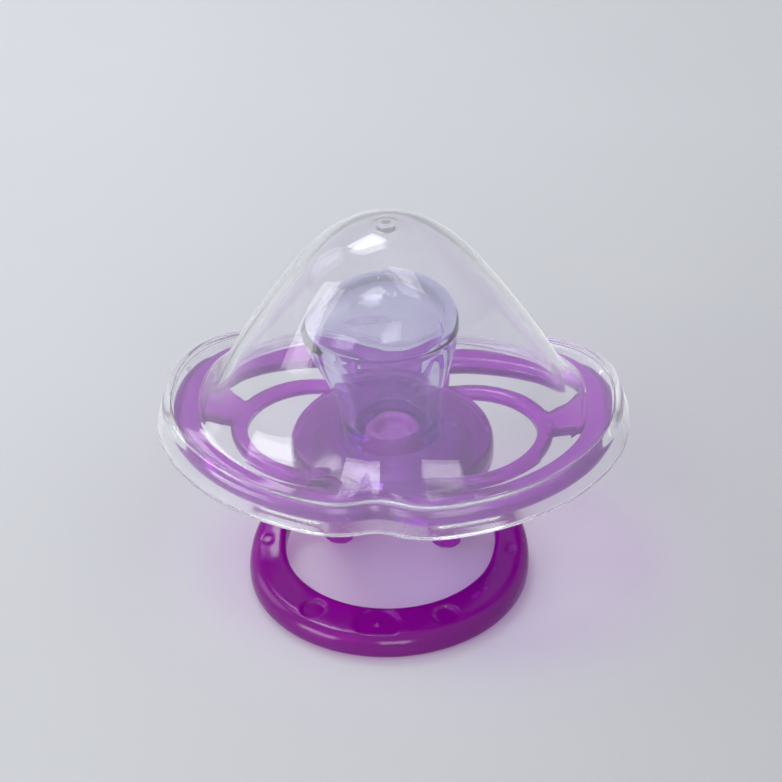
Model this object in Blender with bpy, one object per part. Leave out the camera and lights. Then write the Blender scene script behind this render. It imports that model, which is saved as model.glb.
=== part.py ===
"""A baby's pacifier standing nipple up, with its push-on cap and its ring handle.

Lengths are in millimetres and become metres where a mesh is made. +Z runs along the nipple, X is
left to right across the shield, and the ring handle lies on the floor towards -Y. The pieces are
drawn about the hub's axis, and their common parent then puts the origin under the middle of the
whole pacifier.
"""

import math

import bmesh
import bpy
import numpy as np
from mathutils import Vector

MM = 0.001
MERGE = 1e-3

# Fits
CLEARANCE = 0.3
PIN_CLEARANCE = 0.3
CAP_SIDE_CLEARANCE = 0.35

# Shield: a superellipse with a notch in its front and back edges, dished up towards its ends
SHIELD_HALF_WIDTH = 22.5
SHIELD_HALF_DEPTH = 15.2
SHIELD_CENTRE_Y = 0.8
SQUARENESS_FRONT = 2.15
SQUARENESS_BACK = 2.6
NOTCH_FRONT = (1.5, 3.2)
NOTCH_BACK = (1.6, 4.4)
DISH_RADIUS_X = 90.0
DISH_RADIUS_Y = 200.0
RIM_WIDTH = 3.0
RIM_THICK = 2.0
WEB_THICK = 1.1
WEB_RECESS = 0.35
WEB_HUB_OVERLAP = 2.1
ARCH_X = 7.6
ARCH_HOLE_RADIUS = 7.2
ARCH_WIDTH = 1.7
ARCH_THICK = 1.5
ARCH_BURY = 1.2
FRONT_WEB_HALF = 4.3
BACK_WEB_HALF = 5.2
SIDE_WEB_FRONT = (0.2, -0.3)
SIDE_WEB_BACK = (3.4, 7.8)
SIDE_WEB_LEAN = (0.4, 0.3)
HUB_THICK = 2.2
HUB_CROWN = 0.8
HUB_EDGE = 0.6
HUB_EDGE_DROP = 0.2
COLLAR_WALL = 0.7
COLLAR_DEPTH = 1.0

# Nipple
NECK_RADIUS = 4.9
NECK_SWELL = 0.2
NECK_RISE = 1.3
HEAD_HALF_WIDTH = 8.0
HEAD_HALF_DEPTH = 6.8
HEAD_CROWN = 6.2
HEAD_RISE = 12.0
HEAD_ROUNDING = 0.82
NIPPLE_WALL = 1.3
NIPPLE_SWAY = 1.0
CROWN_LEAN = 1.6
FLANGE_RADIUS = 7.8
FLANGE_THICK = 1.2

# Plug inside the nipple
PLUG_TIP_RADIUS = 2.7
PLUG_TIP_RISE = 0.5
PLUG_TIP_ROUND = 0.25
PLUG_DISH_RADIUS = 1.95
PLUG_DISH_DEPTH = 1.0
PLUG_FLANGE_THICK = 1.0

# Back cover: a shallow button behind the hub, and two ears that carry the handle and reach the floor
EAR_DROP = 5.4
COVER_DEPTH = 5.5
COVER_STRAIGHT = 1.5
COVER_WALL = 1.3
FACE_RADIUS = 3.6
DOME_FULLNESS = 0.9
EAR_X = 5.6
EAR_THICK = 3.0
EAR_FOOT = 0.8
EAR_HALF_LENGTH = 3.3
EAR_CORNER = 0.9
EAR_BURY = 2.4
HINGE_Y = 0.5
HINGE_Z = 3.0
PIN_RADIUS = 0.9
PIN_DEPTH = 2.1

# Ring handle: a crescent between two circles, whose ends rise to the hinge
RING_RADIUS = 14.4
RING_Y = -6.3
RING_HOLE_RADIUS = 10.8
RING_HOLE_Y = -4.7
RING_THICK = 2.8
RING_RISE_SHARE = 0.18
BARREL_RADIUS = 1.4
DIMPLE_RADIUS = 1.25
DIMPLE_DEPTH = 0.35
DIMPLE_SHARES = (0.365, 0.5, 0.635)

# Cap: the bell's heights and half widths as shares of its apex and its base
CAP_WALL = 0.85
CAP_HEADROOM = 5.9
CAP_BRIM = 2.5
BELL = (
    (0.992, 0.11), (0.948, 0.265), (0.849, 0.41), (0.709, 0.54), (0.55, 0.67), (0.39, 0.79), (0.231, 0.9),
)
BELL_FILLET = 0.35
BELL_ROUND_SHARE = 0.5
BELL_FRONT_REACH = 1.1
BELL_FRONT_PINCH = 0.15
BELL_FLARE_FROM = 0.7
BELL_NOTCH_FADE = 4
BELL_SUBSTEPS = 2
SKIRT_DEPTH = 3.4
SKIRT_FLARE = 0.6
CAP_EDGE = 1.0
BEAD_X = 9.0
BEAD_LENGTH = 7.2
BEAD_HEIGHT = 0.45
BEAD_RISE = 0.42
GATE_RADIUS = 1.1
GATE_RISE = 0.25

# Faceting
OUTLINE_STEPS = 96
CAP_STEPS = 96
ROUND_STEPS = 60
NIPPLE_STEPS = 40
SMALL_STEPS = 24
RING_STATIONS = 57
RING_SECTION = 16
SHARP_ANGLE = math.radians(40)

# The stack of pieces, up from the floor
HUB_BOTTOM = EAR_DROP + COVER_DEPTH + CLEARANCE
HUB_EDGE_TOP = HUB_BOTTOM + HUB_THICK - HUB_EDGE_DROP
HUB_TOP = HUB_EDGE_TOP + HUB_CROWN
PLATE_TOP = HUB_EDGE_TOP - HUB_EDGE_DROP
FLANGE_TOP = HUB_BOTTOM - CLEARANCE
FLANGE_BOTTOM = FLANGE_TOP - FLANGE_THICK
PLUG_FLANGE_TOP = FLANGE_BOTTOM - CLEARANCE
PLUG_FLANGE_BOTTOM = PLUG_FLANGE_TOP - PLUG_FLANGE_THICK
NIPPLE_TOP = HUB_TOP + HEAD_RISE + HEAD_CROWN

# The pieces that close round each other
COVER_BORE = FLANGE_RADIUS + CLEARANCE
COVER_RADIUS = COVER_BORE + COVER_WALL
COLLAR_BORE = COVER_RADIUS + CLEARANCE
HUB_RADIUS = COLLAR_BORE + COLLAR_WALL
NECK_BORE = NECK_RADIUS + CLEARANCE
CAP_GROW = CAP_SIDE_CLEARANCE + CAP_WALL
CAP_LIFT = CLEARANCE + CAP_WALL
CAP_APEX = NIPPLE_TOP - PLATE_TOP + CAP_HEADROOM
BELL_BASE = SHIELD_HALF_WIDTH - CAP_BRIM
EAR_FACE = EAR_X + EAR_THICK / 2
ROOT = "pacifier"


# Mesh helpers

def new_object(name, bm, location=(0, 0, 0)):
    """Turns a bmesh in millimetres into an object in metres."""
    bmesh.ops.remove_doubles(bm, verts=bm.verts, dist=MERGE)
    bmesh.ops.recalc_face_normals(bm, faces=bm.faces)
    bmesh.ops.scale(bm, vec=(MM, MM, MM), verts=bm.verts)
    mesh = bpy.data.meshes.new(name)
    bm.to_mesh(mesh)
    bm.free()
    mesh.shade_smooth()
    mesh.set_sharp_from_angle(angle=SHARP_ANGLE)
    obj = bpy.data.objects.new(name, mesh)
    obj.location = Vector(location) * MM
    obj.parent = bpy.data.objects[ROOT]
    bpy.context.collection.objects.link(obj)
    return obj


def loft(rings, wrap=False, cap_start=True, cap_end=True):
    """Skins a row of closed rings that all have the same number of points."""
    bm = bmesh.new()
    loops = [[bm.verts.new(p) for p in ring] for ring in rings]
    pairs = list(zip(loops, loops[1:]))
    if wrap:
        pairs.append((loops[-1], loops[0]))
    count = len(loops[0])
    for a, b in pairs:
        for i in range(count):
            j = (i + 1) % count
            bm.faces.new((a[i], a[j], b[j], b[i]))
    if not wrap and cap_start:
        bm.faces.new(reversed(loops[0]))
    if not wrap and cap_end:
        bm.faces.new(loops[-1])
    return bm


def turned(profile, steps=ROUND_STEPS):
    """Spins a closed profile of (radius, height) points about Z."""
    bm = bmesh.new()
    verts = [bm.verts.new((r, 0, z)) for r, z in profile]
    edges = [bm.edges.new((a, b)) for a, b in zip(verts, verts[1:])]
    on_axis = profile[0][0] == 0 and profile[-1][0] == 0
    if not on_axis:
        edges.append(bm.edges.new((verts[-1], verts[0])))
    bmesh.ops.spin(
        bm, geom=verts + edges, axis=(0, 0, 1), cent=(0, 0, 0),
        angle=math.tau, steps=steps, use_merge=True,
    )
    return bm


def rod(radius, start, end, steps=SMALL_STEPS):
    """A round rod along X."""
    rings = [
        [(x, radius * math.cos(a), radius * math.sin(a)) for a in angles(steps)]
        for x in (start, end)
    ]
    return loft(rings)


def angles(count):
    return [math.tau * i / count for i in range(count)]


def boolean(obj, other, operation):
    """Joins or cuts obj with other, which stays in the file as a hidden guide."""
    other.hide_render = True
    other.display_type = "WIRE"
    mod = obj.modifiers.new(f"{operation.lower()}_{other.name}", "BOOLEAN")
    mod.operation = operation
    mod.solver = "EXACT"
    mod.object = other
    return mod


def finish(obj, colour, roughness, alpha):
    """Gives a piece its own material."""
    mat = bpy.data.materials.new(f"{obj.name}_material")
    mat.use_nodes = True
    shader = mat.node_tree.nodes["Principled BSDF"]
    shader.inputs["Base Color"].default_value = (*colour, 1.0)
    shader.inputs["Roughness"].default_value = roughness
    shader.inputs["Metallic"].default_value = 0.0
    shader.inputs["Alpha"].default_value = alpha
    obj.data.materials.append(mat)


# Shared shape of the shield and the cap

def notch(x, size):
    """How deep a notch of (depth, spread) is at a place along X."""
    depth, spread = size
    return depth * math.exp(-((x / spread) ** 2))


def edge_point(turn):
    """A point on the shield's notched edge, at a parameter from 0 to 2 pi."""
    c, s = math.cos(turn), math.sin(turn)
    power = 2 / (SQUARENESS_BACK if s > 0 else SQUARENESS_FRONT)
    x = SHIELD_HALF_WIDTH * math.copysign(abs(c) ** power, c)
    y = SHIELD_HALF_DEPTH * math.copysign(abs(s) ** power, s)
    cut = notch(x, NOTCH_BACK if s > 0 else NOTCH_FRONT)
    y -= math.copysign(cut, s) * min(1.0, abs(s) * 4)
    return x, y + SHIELD_CENTRE_Y


def outline(grow, count):
    """The shield's edge moved outward by grow, as evenly spaced points that start at +X."""
    dense = np.array([edge_point(math.tau * i / 1440) for i in range(1440)])
    along = np.roll(dense, -1, axis=0) - np.roll(dense, 1, axis=0)
    normal = np.stack([along[:, 1], -along[:, 0]], axis=1)
    normal /= np.linalg.norm(normal, axis=1)[:, None]
    moved = dense + normal * grow
    closed = np.vstack([moved, moved[:1]])
    length = np.concatenate([[0], np.cumsum(np.linalg.norm(np.diff(closed, axis=0), axis=1))])
    stations = np.linspace(0, length[-1], count, endpoint=False)
    return [
        (float(np.interp(s, length, closed[:, 0])), float(np.interp(s, length, closed[:, 1])))
        for s in stations
    ]


def dish(x, y):
    """How far the shield's dish lifts a point."""
    return x * x / (2 * DISH_RADIUS_X) + y * y / (2 * DISH_RADIUS_Y)


def ridge_section(width, thick, steps=10):
    """A rounded bar's section: (sideways, up) points, its top at zero."""
    points = []
    for a in angles(steps):
        c, s = math.cos(a), math.sin(a)
        side = width / 2 * math.copysign(abs(c) ** 0.75, c)
        up = thick / 2 * math.copysign(abs(s) ** 0.75, s) - thick / 2
        points.append((side, up))
    return points


def ridge(path, width, thick, closed, top):
    """A rounded bar that follows a path of (x, y) points on the dish."""
    section = ridge_section(width, thick)
    count = len(path)
    rings = []
    for i, (x, y) in enumerate(path):
        before = path[i - 1] if closed or i > 0 else path[i]
        after = path[(i + 1) % count] if closed or i < count - 1 else path[i]
        along = Vector((after[0] - before[0], after[1] - before[1])).normalized()
        out = Vector((along.y, -along.x))
        ring = []
        for side, up in section:
            px, py = x + out.x * side, y + out.y * side
            ring.append((px, py, top + dish(px, py) + up))
        rings.append(ring)
    return loft(rings, wrap=closed)


def web(corners, rows=4):
    """A flat plate on the dish between four (x, y) corners."""
    a, b, c, d = (Vector(p) for p in corners)
    top = PLATE_TOP - WEB_RECESS
    rings = []
    for i in range(rows + 1):
        start = a.lerp(b, i / rows)
        end = d.lerp(c, i / rows)
        upper = [start.lerp(end, k / rows) for k in range(rows + 1)]
        ring = [(p.x, p.y, top + dish(p.x, p.y)) for p in upper]
        ring += [(p.x, p.y, top + dish(p.x, p.y) - WEB_THICK) for p in reversed(upper)]
        rings.append(ring)
    return loft(rings)


# Pieces

def arch_end():
    """The angle about an arch's centre at which its middle line runs into the hub."""
    middle = ARCH_HOLE_RADIUS + ARCH_WIDTH / 2
    reach = HUB_RADIUS - ARCH_BURY
    cosine = (reach ** 2 - ARCH_X ** 2 - middle ** 2) / (2 * ARCH_X * middle)
    return math.acos(max(-1.0, min(1.0, cosine)))


def hub_profile():
    """The hub's section: a crowned disc with a bore for the neck and a collar for the cover."""
    edge = HUB_RADIUS - HUB_EDGE
    profile = [
        (NECK_BORE, HUB_BOTTOM),
        (COLLAR_BORE, HUB_BOTTOM),
        (COLLAR_BORE, HUB_BOTTOM - COLLAR_DEPTH),
        (HUB_RADIUS, HUB_BOTTOM - COLLAR_DEPTH),
        (HUB_RADIUS, HUB_EDGE_TOP - HUB_EDGE),
        (HUB_RADIUS - HUB_EDGE * 0.3, HUB_EDGE_TOP - HUB_EDGE * 0.25),
        (edge, HUB_EDGE_TOP),
    ]
    for share in (0.75, 0.5, 0.25, 0.0):
        r = NECK_BORE + (edge - NECK_BORE) * share
        profile.append((r, HUB_TOP - HUB_CROWN * share ** 2))
    return profile


def make_shield():
    """Rim, two arches, four webs and the hub, joined into one moulding."""
    rim = ridge(outline(-RIM_WIDTH / 2, OUTLINE_STEPS), RIM_WIDTH, RIM_THICK, True, PLATE_TOP)
    shield = new_object("shield", rim)
    boolean(shield, new_object("guide_hub", turned(hub_profile())), "UNION")

    middle = ARCH_HOLE_RADIUS + ARCH_WIDTH / 2
    inner_x = ARCH_X + middle
    outer_x = SHIELD_HALF_WIDTH - RIM_WIDTH / 2
    steps = 24
    for side in (-1, 1):
        path = []
        for i in range(steps + 1):
            a = arch_end() * (2 * i / steps - 1)
            path.append((side * (ARCH_X + middle * math.cos(a)), middle * math.sin(a)))
        arch = ridge(path, ARCH_WIDTH, ARCH_THICK, False, PLATE_TOP)
        boolean(shield, new_object(f"guide_arch_{side + 1}", arch), "UNION")
        plate = web([
            (side * inner_x, SIDE_WEB_FRONT[0]),
            (side * outer_x, SIDE_WEB_FRONT[1]),
            (side * (outer_x + SIDE_WEB_LEAN[1]), SIDE_WEB_BACK[1]),
            (side * (inner_x + SIDE_WEB_LEAN[0]), SIDE_WEB_BACK[0]),
        ])
        boolean(shield, new_object(f"guide_side_web_{side + 1}", plate), "UNION")

    front_y = SHIELD_CENTRE_Y - SHIELD_HALF_DEPTH + NOTCH_FRONT[0] + RIM_WIDTH / 2
    back_y = SHIELD_CENTRE_Y + SHIELD_HALF_DEPTH - NOTCH_BACK[0] - RIM_WIDTH / 2
    hub_y = HUB_RADIUS - WEB_HUB_OVERLAP
    for name, half, near, far in (
        ("front", FRONT_WEB_HALF, -hub_y, front_y), ("back", BACK_WEB_HALF, hub_y, back_y),
    ):
        plate = web([(-half, near), (-half, far), (half, far), (half, near)])
        boolean(shield, new_object(f"guide_{name}_web", plate), "UNION")
    return shield


def nipple_ring(radius, height):
    """A ring of the nipple, flattened front to back and swayed sideways with height."""
    rise = max(0.0, height - HUB_TOP) / HEAD_RISE
    flat = 1 + (HEAD_HALF_DEPTH / HEAD_HALF_WIDTH - 1) * min(1.0, rise) ** 2
    crown = max(0.0, height - HUB_TOP - HEAD_RISE) / HEAD_CROWN
    sway = CROWN_LEAN * crown - NIPPLE_SWAY * min(1.0, rise) ** 1.5
    return [
        (sway + radius * math.cos(a), radius * flat * math.sin(a), height)
        for a in angles(NIPPLE_STEPS)
    ]


def make_nipple():
    """A hollow silicone teat with a flange behind the hub."""
    head = HUB_TOP + HEAD_RISE
    neck = NECK_RADIUS + NECK_SWELL
    rows = [
        (FLANGE_RADIUS, FLANGE_BOTTOM), (FLANGE_RADIUS, FLANGE_TOP), (NECK_RADIUS, FLANGE_TOP),
        (NECK_RADIUS, HUB_TOP), (neck, HUB_TOP + NECK_RISE),
    ]
    full = 1 - math.cos(math.pi * HEAD_ROUNDING)
    for share in (0.2, 0.4, 0.6, 0.8, 1.0):
        swell = (1 - math.cos(math.pi * share * HEAD_ROUNDING)) / full
        radius = neck + (HEAD_HALF_WIDTH - neck) * swell
        rows.append((radius, HUB_TOP + NECK_RISE + (HEAD_RISE - NECK_RISE) * share))
    for degrees in (16, 32, 47, 61, 73, 83):
        a = math.radians(degrees)
        rows.append((HEAD_HALF_WIDTH * math.cos(a), head + HEAD_CROWN * math.sin(a)))

    bore = []
    for radius, height in reversed(rows[4:]):
        share = max(0.0, height - head) / HEAD_CROWN
        bore.append((radius * (1 - NIPPLE_WALL / HEAD_HALF_WIDTH), height - NIPPLE_WALL * share))
    bore.append((NECK_RADIUS - NIPPLE_WALL, HUB_TOP))
    bore.append((NECK_RADIUS - NIPPLE_WALL, FLANGE_BOTTOM))

    bm = bmesh.new()
    skin = [[bm.verts.new(p) for p in nipple_ring(r, z)] for r, z in rows]
    hollow = [[bm.verts.new(p) for p in nipple_ring(r, z)] for r, z in bore]
    for chain in (skin, hollow, [hollow[-1], skin[0]]):
        for a, b in zip(chain, chain[1:]):
            for i in range(NIPPLE_STEPS):
                j = (i + 1) % NIPPLE_STEPS
                bm.faces.new((a[i], a[j], b[j], b[i]))
    bm.faces.new(skin[-1])
    bm.faces.new(reversed(hollow[0]))
    return new_object("nipple", bm)


def make_plug():
    """The inner plug: a flange behind the nipple's, and a boss up its bore with a dished tip."""
    tip = HUB_TOP + PLUG_TIP_RISE
    boss = NECK_RADIUS - NIPPLE_WALL - CLEARANCE
    profile = [
        (0, PLUG_FLANGE_BOTTOM),
        (FLANGE_RADIUS, PLUG_FLANGE_BOTTOM),
        (FLANGE_RADIUS, PLUG_FLANGE_TOP),
        (boss, PLUG_FLANGE_TOP),
        (boss, HUB_BOTTOM),
        (PLUG_TIP_RADIUS, tip - PLUG_TIP_ROUND),
        (PLUG_TIP_RADIUS - PLUG_TIP_ROUND, tip),
        (PLUG_DISH_RADIUS, tip),
        (PLUG_DISH_RADIUS - PLUG_TIP_ROUND, tip - PLUG_DISH_DEPTH),
        (0, tip - PLUG_DISH_DEPTH),
    ]
    return new_object("plug", turned(profile))


def make_back_cover():
    """The button: a cup that holds the flanges against the hub, with two ears for the pins."""
    straight = COVER_DEPTH - COVER_STRAIGHT
    profile = [(0, EAR_DROP)]
    for k in range(8):
        share = k / 7
        radius = FACE_RADIUS + (COVER_RADIUS - FACE_RADIUS) * share ** DOME_FULLNESS
        profile.append((radius, EAR_DROP + straight * share))
    ledge = PLUG_FLANGE_BOTTOM - CLEARANCE
    well = EAR_X - EAR_THICK / 2 - CLEARANCE
    profile += [
        (COVER_RADIUS, EAR_DROP + COVER_DEPTH),
        (COVER_BORE, EAR_DROP + COVER_DEPTH),
        (COVER_BORE, ledge),
        (well, ledge),
        (well, EAR_DROP + COVER_WALL),
        (0, EAR_DROP + COVER_WALL),
    ]
    cover = new_object("back_cover", turned(profile))

    for side in (-1, 1):
        ear = new_object(f"guide_ear_{side + 1}", make_ear(), (side * EAR_X, HINGE_Y, 0))
        boolean(cover, ear, "UNION")
    for side in (-1, 1):
        blind_end = side * (EAR_FACE - PIN_DEPTH - PIN_CLEARANCE)
        hole = rod(PIN_RADIUS + PIN_CLEARANCE, blind_end, side * (EAR_FACE + 1))
        cutter = new_object(f"guide_pin_hole_{side + 1}", hole, (0, HINGE_Y, HINGE_Z))
        boolean(cover, cutter, "DIFFERENCE")
    return cover


def make_ear():
    """A cheek with a rounded lower edge, whose two faces lean together to a blunt foot."""
    points = []
    corner = 6
    for sign, turn_from in ((-1, math.pi), (1, 1.5 * math.pi)):
        for i in range(corner + 1):
            a = turn_from + math.pi / 2 * i / corner
            y = sign * (EAR_HALF_LENGTH - EAR_CORNER) + EAR_CORNER * math.cos(a)
            points.append((y, EAR_CORNER + EAR_CORNER * math.sin(a)))
    top = EAR_DROP + EAR_BURY
    points += [(EAR_HALF_LENGTH, top), (-EAR_HALF_LENGTH, top)]
    lean = (EAR_THICK - EAR_FOOT) / 2
    rings = []
    for x, inset in (
        (-EAR_THICK / 2, lean), (-EAR_FOOT / 2, 0.0), (EAR_FOOT / 2, 0.0), (EAR_THICK / 2, lean),
    ):
        rings.append([(x, y, max(z, inset)) for y, z in points])
    return loft(rings)


def crescent(share):
    """The handle's inner and outer points and its middle height, from one end to the other."""
    outer_end = math.asin((HINGE_Y - RING_Y) / RING_RADIUS)
    inner_end = math.asin((HINGE_Y - RING_HOLE_Y) / RING_HOLE_RADIUS)
    a_out = outer_end - (math.pi + 2 * outer_end) * share
    a_in = inner_end - (math.pi + 2 * inner_end) * share
    outer = Vector((RING_RADIUS * math.cos(a_out), RING_Y + RING_RADIUS * math.sin(a_out)))
    inner = Vector((RING_HOLE_RADIUS * math.cos(a_in), RING_HOLE_Y + RING_HOLE_RADIUS * math.sin(a_in)))
    near_hinge = max(0.0, 1 - min(share, 1 - share) / RING_RISE_SHARE)
    rise = near_hinge * near_hinge * (3 - 2 * near_hinge)
    return inner, outer, RING_THICK / 2 + (HINGE_Z - RING_THICK / 2) * rise


def make_ring_handle():
    """The crescent handle, with a barrel and a pin turned inward at each end."""
    rings = []
    for i in range(RING_STATIONS):
        inner, outer, lift = crescent(i / (RING_STATIONS - 1))
        middle = (inner + outer) / 2
        reach = (outer - inner) / 2
        ring = []
        for turn in angles(RING_SECTION):
            c, s = math.cos(turn), math.sin(turn)
            p = middle + reach * math.copysign(abs(c) ** 0.7, c)
            up = RING_THICK / 2 * math.copysign(abs(s) ** 0.7, s)
            ring.append((p.x, p.y - HINGE_Y, lift + up - HINGE_Z))
        rings.append(ring)
    handle = new_object("ring_handle", loft(rings), (0, HINGE_Y, HINGE_Z))

    inner, outer, _ = crescent(0.0)
    arm_middle = (inner.x + outer.x) / 2
    for side in (-1, 1):
        for name, radius, start, end in (
            ("barrel", BARREL_RADIUS, EAR_FACE + PIN_CLEARANCE, outer.x - BARREL_RADIUS / 4),
            ("pin", PIN_RADIUS, EAR_FACE - PIN_DEPTH, arm_middle),
        ):
            part = rod(radius, side * start, side * end)
            guide = new_object(f"guide_{name}_{side + 1}", part, (0, HINGE_Y, HINGE_Z))
            boolean(handle, guide, "UNION")

    ball = (DIMPLE_RADIUS ** 2 + DIMPLE_DEPTH ** 2) / (2 * DIMPLE_DEPTH)
    for number, share in enumerate(DIMPLE_SHARES):
        inner, outer, _ = crescent(share)
        middle = (inner + outer) / 2
        bm = bmesh.new()
        bmesh.ops.create_uvsphere(bm, u_segments=28, v_segments=20, radius=ball)
        centre = (middle.x, middle.y, RING_THICK + ball - DIMPLE_DEPTH)
        boolean(handle, new_object(f"guide_dimple_{number}", bm, centre), "DIFFERENCE")
    return handle


def bell_curve(shell):
    """The bell's (half width, height over the plate), apex to brim, as a rounded curve moved in by shell."""
    base = (CAP_LIFT + BELL_FILLET + dish(BELL_BASE, 0)) / CAP_APEX
    points = [(0.0, 1.0)] + [(w, h) for h, w in BELL] + [(1.0, base)]
    before = (-points[1][0], points[1][1])
    after = (2 * points[-1][0] - points[-2][0], 2 * points[-1][1] - points[-2][1])
    chain = np.array([before] + points + [after]) * (BELL_BASE, CAP_APEX)
    curve = []
    for a, b, c, d in zip(chain, chain[1:], chain[2:], chain[3:]):
        for k in range(BELL_SUBSTEPS):
            t = k / BELL_SUBSTEPS
            bend = (2 * a - 5 * b + 4 * c - d) * t + (3 * b - a - 3 * c + d) * t * t
            curve.append(b + (c - a + bend) * t / 2)
    curve.append(chain[-2])
    curve = np.array(curve)
    along = np.gradient(curve, axis=0)
    along /= np.linalg.norm(along, axis=1)[:, None]
    inward = np.stack([along[:, 1], -along[:, 0]], axis=1)
    return (curve + inward * shell)[1:]


def cap_rows(shell):
    """Rows of the bell's surface, apex to brim, moved inward by shell. The bell is round at its
    apex and takes the shield's outline towards its base. Its front is drawn in and flares at its foot."""
    scale_to = CAP_GROW - shell
    edge = outline(scale_to, CAP_STEPS)
    round_until = BELL_ROUND_SHARE * BELL_BASE
    rows = []
    for reach, height in bell_curve(shell):
        back_shape = max(0.0, (reach - round_until / 2) / (BELL_BASE - round_until / 2))
        front_shape = min(1.0, reach / round_until)
        follow = max(0.0, (reach - round_until) / (BELL_BASE - round_until))
        notch_fill = 1 - min(1.0, reach / BELL_BASE) ** BELL_NOTCH_FADE
        flare = max(0.0, reach / BELL_BASE - BELL_FLARE_FROM) / (1 - BELL_FLARE_FROM)
        pinch = BELL_FRONT_PINCH * (1 - min(1.0, flare) ** 2)
        row = []
        for x, y in edge:
            a = math.atan2(y, x)
            front = max(0.0, -math.sin(a)) ** 2
            shape = back_shape + (front_shape - back_shape) * front
            wider = (BELL_FRONT_REACH + notch(x, NOTCH_FRONT) * notch_fill) * front
            size = (math.hypot(x, y) + wider) / (SHIELD_HALF_WIDTH + scale_to)
            r = reach * (1 - shape + shape * size * (1 - pinch * front))
            px, py = r * math.cos(a), r * math.sin(a)
            z = height - follow * (dish(reach, 0) - dish(px, py))
            row.append((px, py, PLATE_TOP + z))
        rows.append(row)
    return rows


def rim_row(grow, lift, bead_share=0.0):
    """A row that follows the shield's edge at a height over its dish, with the beads moved in."""
    row = []
    for (x, y), (cx, cy) in zip(outline(grow, CAP_STEPS), outline(0, CAP_STEPS)):
        inward = Vector((cx - x, cy - y)).normalized() * bead(x) * bead_share
        row.append((x + inward.x, y + inward.y, PLATE_TOP + dish(x, y) + lift))
    return row


def bead(x):
    """How far the snap bead stands in from the skirt at this place along the shield."""
    off = (abs(x) - BEAD_X) / (BEAD_LENGTH / 2)
    return BEAD_HEIGHT * math.sqrt(max(0.0, 1 - off * off))


def make_cap():
    """The clear bell with a brim that follows the shield and a skirt with four snap beads."""
    top = CAP_LIFT
    bottom = top - SKIRT_DEPTH
    outer = cap_rows(0.0)
    outer.append(rim_row(CAP_GROW - CAP_EDGE * 1.15, top + 0.05))
    outer.append(rim_row(CAP_GROW - CAP_EDGE * 0.55, top - CAP_EDGE * 0.08))
    outer.append(rim_row(CAP_GROW - CAP_EDGE * 0.12, top - CAP_EDGE * 0.45))
    outer.append(rim_row(CAP_GROW + 0.1, top - CAP_EDGE))
    outer.append(rim_row(CAP_GROW + SKIRT_FLARE * 0.5, (top - CAP_EDGE + bottom) / 2))
    outer.append(rim_row(CAP_GROW + SKIRT_FLARE, bottom))
    under = top - CAP_WALL
    inner = cap_rows(CAP_WALL)
    inner.append(rim_row(CAP_SIDE_CLEARANCE - CAP_EDGE, under))
    inner.append(rim_row(CAP_SIDE_CLEARANCE, under))
    inner.append(rim_row(CAP_SIDE_CLEARANCE + 0.15, under - CAP_EDGE))
    inner.append(rim_row(CAP_SIDE_CLEARANCE + SKIRT_FLARE * 0.9, bottom + BEAD_RISE, 1.0))
    inner.append(rim_row(CAP_SIDE_CLEARANCE + SKIRT_FLARE, bottom))

    bm = bmesh.new()
    shells = [[[bm.verts.new(p) for p in row] for row in rows] for rows in (outer, inner)]
    for chain in (*shells, [shells[0][-1], shells[1][-1]]):
        for a, b in zip(chain, chain[1:]):
            for i in range(CAP_STEPS):
                j = (i + 1) % CAP_STEPS
                bm.faces.new((a[i], a[j], b[j], b[i]))
    for rows, height in ((shells[0], CAP_APEX), (shells[1], CAP_APEX - CAP_WALL)):
        apex = bm.verts.new((0, 0, PLATE_TOP + height))
        for i in range(CAP_STEPS):
            bm.faces.new((rows[0][i], rows[0][(i + 1) % CAP_STEPS], apex))
    cap = new_object("cap", bm)

    foot = PLATE_TOP + CAP_APEX - CAP_WALL / 2
    rise = PLATE_TOP + CAP_APEX + GATE_RISE
    gate = turned([(0, foot), (GATE_RADIUS, foot), (GATE_RADIUS - GATE_RISE, rise), (0, rise)], SMALL_STEPS)
    boolean(cap, new_object("guide_gate_mark", gate), "UNION")
    return cap


def hub_axis_y():
    """Where the hub's axis stands when the origin is under the middle of the whole pacifier."""
    back = max(y for _, y in outline(CAP_GROW + SKIRT_FLARE, CAP_STEPS))
    front = RING_RADIUS - RING_Y
    return (front - back) / 2


def main():
    for obj in list(bpy.data.objects):
        bpy.data.objects.remove(obj, do_unlink=True)
    root = bpy.data.objects.new(ROOT, None)
    root.location = (0, hub_axis_y() * MM, 0)
    bpy.context.collection.objects.link(root)

    purple = (0.36, 0.03, 0.42)
    finish(make_shield(), purple, 0.25, 0.75)
    finish(make_nipple(), (0.86, 0.84, 0.95), 0.2, 0.35)
    finish(make_plug(), purple, 0.25, 0.75)
    finish(make_back_cover(), purple, 0.25, 0.75)
    finish(make_ring_handle(), (0.25, 0.0, 0.28), 0.2, 0.9)
    finish(make_cap(), (0.93, 0.94, 0.97), 0.15, 0.25)


main()
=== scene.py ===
"""The look of a pacifier that stands nipple up under its clear cap, on a pale studio floor."""

import math  # noqa: E402

import bpy  # noqa: E402
import numpy as np  # noqa: E402
from mathutils import Matrix, Vector  # noqa: E402


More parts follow.
